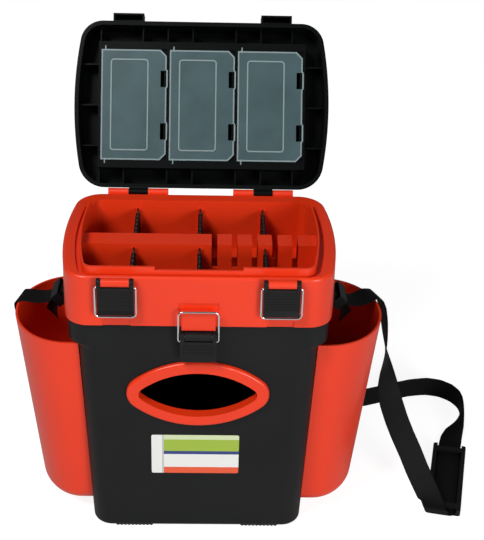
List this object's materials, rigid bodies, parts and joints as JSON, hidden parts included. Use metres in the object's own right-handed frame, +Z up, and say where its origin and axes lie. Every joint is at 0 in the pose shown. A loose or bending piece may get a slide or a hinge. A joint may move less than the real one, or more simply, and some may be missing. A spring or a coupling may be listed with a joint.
{
  "type": "fishing seat box",
  "caption": "Upright tackle box used as a seat: hinged tray and lid, side pockets, front window, wire latches and shoulder strap.",
  "frame": {"origin": "centre of the underside of the lower box, on the ground", "axes": "+X to the right seen from the front, +Y to the hinges at the back, +Z up"},
  "size_m": [0.5482, 0.3301, 0.5107],
  "materials": {
    "black_body": "fine grained",
    "orange_body": "satin",
    "orange_ring": "satin",
    "black_lever": "satin",
    "divider_brown": "satin",
    "cover_clear": "frosted translucent",
    "wire_chrome": "bright",
    "pin_steel": "plain",
    "rivet_black": "black",
    "fitting_black": "satin",
    "foot_rubber": "moulded",
    "webbing_black": "woven",
    "foam_grey": "closed cell foam"
  },
  "bodies": {
    "box": {"lower_box": "black_body", "feet": "foot_rubber", "window_ring": "orange_ring", "pocket_right": "orange_body", "pocket_left": "orange_body", "pocket_rivets": "rivet_black", "strap_anchor_right": "fitting_black", "strap_anchor_left": "fitting_black", "anchor_rivets": "rivet_black", "strap_slider_right": "fitting_black", "strap_slider_left": "fitting_black", "strap_right": "webbing_black", "strap_rear": "webbing_black", "strap_left": "webbing_black", "strap_pad": "fitting_black", "tray_hinge_rods": "pin_steel", "centre_latch_pin": "pin_steel"},
    "tray": {"tray": "orange_body", "lid_hinge_rods": "pin_steel", "lid_latch_pins": "pin_steel"},
    "lid": {"lid": "black_body", "lid_frame": "black_body", "seat_pad": "foam_grey"},
    "cover_left": {"cover_left": "cover_clear"},
    "cover_middle": {"cover_middle": "cover_clear"},
    "cover_right": {"cover_right": "cover_clear"},
    "lever_left": {"lever_left": "black_lever"},
    "lever_right": {"lever_right": "black_lever"},
    "lever_centre": {"lever_centre": "black_lever"},
    "bail_left": {"bail_left": "wire_chrome"},
    "bail_right": {"bail_right": "wire_chrome"},
    "bail_centre": {"bail_centre": "wire_chrome"},
    "divider_front_1": {"divider_front_1": "divider_brown"},
    "divider_front_2": {"divider_front_2": "divider_brown"},
    "divider_front_3": {"divider_front_3": "divider_brown"},
    "divider_rear_1": {"divider_rear_1": "divider_brown"},
    "divider_rear_2": {"divider_rear_2": "divider_brown"},
    "divider_rear_3": {"divider_rear_3": "divider_brown"}
  },
  "joints": [
    {"name": "tray_hinge", "type": "hinge", "parent": "box", "child": "tray", "pos_m": [0, 0.1, 0.277], "axis": [-1, 0, 0], "range_deg": [0, 95]},
    {"name": "lid_hinge", "type": "hinge", "parent": "tray", "child": "lid", "pos_m": [0, 0.0995, 0.3358], "axis": [-1, 0, 0], "range_deg": [-120, 0]},
    {"name": "cover_left_hinge", "type": "hinge", "parent": "lid", "child": "cover_left", "pos_m": [-0.1103, 0.15289, 0.41987], "axis": [0, -0.5, -0.866], "range_deg": [0, 110]},
    {"name": "cover_middle_hinge", "type": "hinge", "parent": "lid", "child": "cover_middle", "pos_m": [-0.0325, 0.15289, 0.41987], "axis": [0, -0.5, -0.866], "range_deg": [0, 110]},
    {"name": "cover_right_hinge", "type": "hinge", "parent": "lid", "child": "cover_right", "pos_m": [0.0453, 0.15289, 0.41987], "axis": [0, -0.5, -0.866], "range_deg": [0, 110]},
    {"name": "divider_front_1_slide", "type": "slide", "parent": "tray", "child": "divider_front_1", "axis": [0, 0, 1], "range_m": [0, 0.065]},
    {"name": "divider_front_2_slide", "type": "slide", "parent": "tray", "child": "divider_front_2", "axis": [0, 0, 1], "range_m": [0, 0.065]},
    {"name": "divider_front_3_slide", "type": "slide", "parent": "tray", "child": "divider_front_3", "axis": [0, 0, 1], "range_m": [0, 0.065]},
    {"name": "divider_rear_1_slide", "type": "slide", "parent": "tray", "child": "divider_rear_1", "axis": [0, 0, 1], "range_m": [0, 0.065]},
    {"name": "divider_rear_2_slide", "type": "slide", "parent": "tray", "child": "divider_rear_2", "axis": [0, 0, 1], "range_m": [0, 0.065]},
    {"name": "divider_rear_3_slide", "type": "slide", "parent": "tray", "child": "divider_rear_3", "axis": [0, 0, 1], "range_m": [0, 0.065]},
    {"name": "lever_left_hinge", "type": "hinge", "parent": "tray", "child": "lever_left", "pos_m": [-0.0845, -0.1005, 0.3325], "axis": [1, 0, 0], "range_deg": [-110, 0]},
    {"name": "bail_left_hinge", "type": "hinge", "parent": "lever_left", "child": "bail_left", "pos_m": [-0.0845, -0.1005, 0.327], "axis": [-1, 0, 0], "range_deg": [0, 184]},
    {"name": "lever_right_hinge", "type": "hinge", "parent": "tray", "child": "lever_right", "pos_m": [0.0845, -0.1005, 0.3325], "axis": [1, 0, 0], "range_deg": [-110, 0]},
    {"name": "bail_right_hinge", "type": "hinge", "parent": "lever_right", "child": "bail_right", "pos_m": [0.0845, -0.1005, 0.327], "axis": [-1, 0, 0], "range_deg": [0, 184]},
    {"name": "lever_centre_hinge", "type": "hinge", "parent": "box", "child": "lever_centre", "pos_m": [0, -0.1014, 0.2695], "axis": [1, 0, 0], "range_deg": [-120, 0]},
    {"name": "bail_centre_hinge", "type": "hinge", "parent": "lever_centre", "child": "bail_centre", "pos_m": [0, -0.1014, 0.264], "axis": [1, 0, 0], "range_deg": [0, 150]}
  ],
  "couplings": [
    {"joint": "bail_centre_hinge", "follows": "lever_centre_hinge", "ratio": -1.25}
  ]
}
